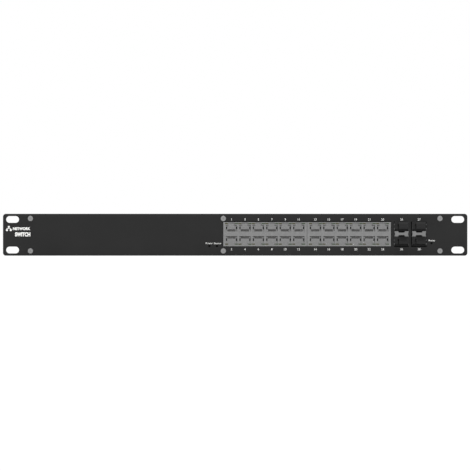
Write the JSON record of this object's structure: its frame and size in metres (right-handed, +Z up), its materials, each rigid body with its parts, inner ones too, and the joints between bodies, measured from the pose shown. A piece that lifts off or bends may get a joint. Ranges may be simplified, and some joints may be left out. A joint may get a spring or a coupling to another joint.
{
  "type": "rackmount network switch",
  "caption": "One-unit rack-mount network switch: slotted front panel, two rows of shielded modular jacks, stacked module cages with dust plugs, reset button, mains inlet.",
  "frame": {"origin": "bottom centre of the bounding box, on the face that the case rests on", "axes": "+X right seen from the front, -Y out of the front panel, +Z up"},
  "size_m": [0.4826, 0.2154, 0.0435],
  "materials": {
    "black_powder_coat": "fine matt powder coat",
    "black_case_paint": "satin paint over sheet steel",
    "zinc_plated_steel": "satin zinc plate",
    "bright_screw_steel": "satin nickel plate",
    "nickel_sheet": "satin nickel plate",
    "grey_jack_plastic": "matt moulded",
    "gold_plate": "bright",
    "yellow_lens": "clear moulded",
    "green_lens": "clear moulded",
    "black_plug_plastic": "matt moulded",
    "black_connector_plastic": "matt moulded",
    "green_circuit_board": "solder mask",
    "brown_circuit_board": "paper laminate",
    "chip_epoxy": "matt moulded",
    "black_anodised": "matt anodised",
    "plain_aluminium": "extruded",
    "white_nylon": "matt moulded",
    "spring_steel": "bright",
    "grey_thermal_pad": "soft matt",
    "capacitor_sleeve": "shrink sleeve",
    "ferrite": "sintered matt",
    "transformer_tape": "polyester tape",
    "insulating_film": "polyester film",
    "fuse_glass": "clear tube with plated caps",
    "brass_blade": "nickel-plated brass",
    "black_wire_sleeve": "soft insulation",
    "earth_wire_sleeve": "soft insulation",
    "indicator_white": "moulded"
  },
  "bodies": {
    "root": {"front_plate": "black_powder_coat", "base_tray": "black_case_paint", "top_cover": "black_case_paint", "face_screws": "bright_screw_steel", "face_nuts": "zinc_plated_steel", "cover_screws": "bright_screw_steel", "cover_nuts": "zinc_plated_steel", "jack_shield_left": "nickel_sheet", "jack_shield_right": "nickel_sheet", "jack_housing_left": "grey_jack_plastic", "jack_housing_right": "grey_jack_plastic", "jack_contacts_left": "gold_plate", "jack_contacts_right": "gold_plate", "jack_lenses_yellow": "yellow_lens", "jack_lenses_green": "green_lens", "module_cage_left": "nickel_sheet", "module_cage_right": "nickel_sheet", "cage_collars": "nickel_sheet", "cage_bezel_left": "nickel_sheet", "cage_bezel_right": "nickel_sheet", "cage_latches": "nickel_sheet", "module_connectors": "black_connector_plastic", "main_board": "green_circuit_board", "board_posts": "zinc_plated_steel", "board_screws": "zinc_plated_steel", "switch_chip": "chip_epoxy", "thermal_pad": "grey_thermal_pad", "switch_heatsink": "black_anodised", "heatsink_pins": "white_nylon", "heatsink_springs": "spring_steel", "line_chips": "chip_epoxy", "line_heatsinks": "black_anodised", "small_chips": "chip_epoxy", "board_inductors": "ferrite", "board_capacitors": "capacitor_sleeve", "indicators": "indicator_white", "reset_switch_body": "black_connector_plastic", "reset_dome": "spring_steel", "psu_board": "brown_circuit_board", "psu_insulator": "insulating_film", "psu_transformer": "transformer_tape", "psu_capacitors": "capacitor_sleeve", "psu_filter": "ferrite", "psu_heatsinks": "plain_aluminium", "psu_transistors": "chip_epoxy", "psu_fuse": "fuse_glass", "wire_headers": "white_nylon", "power_inlet": "black_connector_plastic", "inlet_blades": "brass_blade", "inlet_screws": "zinc_plated_steel", "ground_stud": "brass_blade", "ground_nut": "zinc_plated_steel", "mains_wires": "black_wire_sleeve", "ground_wire": "earth_wire_sleeve", "supply_harness": "black_wire_sleeve"},
    "reset_button": {"reset_button": "black_plug_plastic"},
    "upper_left_plug": {"dust_plug_upper_left": "black_plug_plastic"},
    "upper_right_plug": {"dust_plug_upper_right": "black_plug_plastic"},
    "lower_left_plug": {"dust_plug_lower_left": "black_plug_plastic"},
    "lower_right_plug": {"dust_plug_lower_right": "black_plug_plastic"}
  },
  "joints": [
    {"name": "reset_press", "type": "slide", "parent": "root", "child": "reset_button", "axis": [0, 1, 0], "range_m": [0, 0.0003], "stiffness_N_per_m": 2000},
    {"name": "pull_upper_left_plug", "type": "slide", "parent": "root", "child": "upper_left_plug", "axis": [0, -1, 0], "range_m": [0, 0.022]},
    {"name": "pull_upper_right_plug", "type": "slide", "parent": "root", "child": "upper_right_plug", "axis": [0, -1, 0], "range_m": [0, 0.022]},
    {"name": "pull_lower_left_plug", "type": "slide", "parent": "root", "child": "lower_left_plug", "axis": [0, -1, 0], "range_m": [0, 0.022]},
    {"name": "pull_lower_right_plug", "type": "slide", "parent": "root", "child": "lower_right_plug", "axis": [0, -1, 0], "range_m": [0, 0.022]}
  ]
}
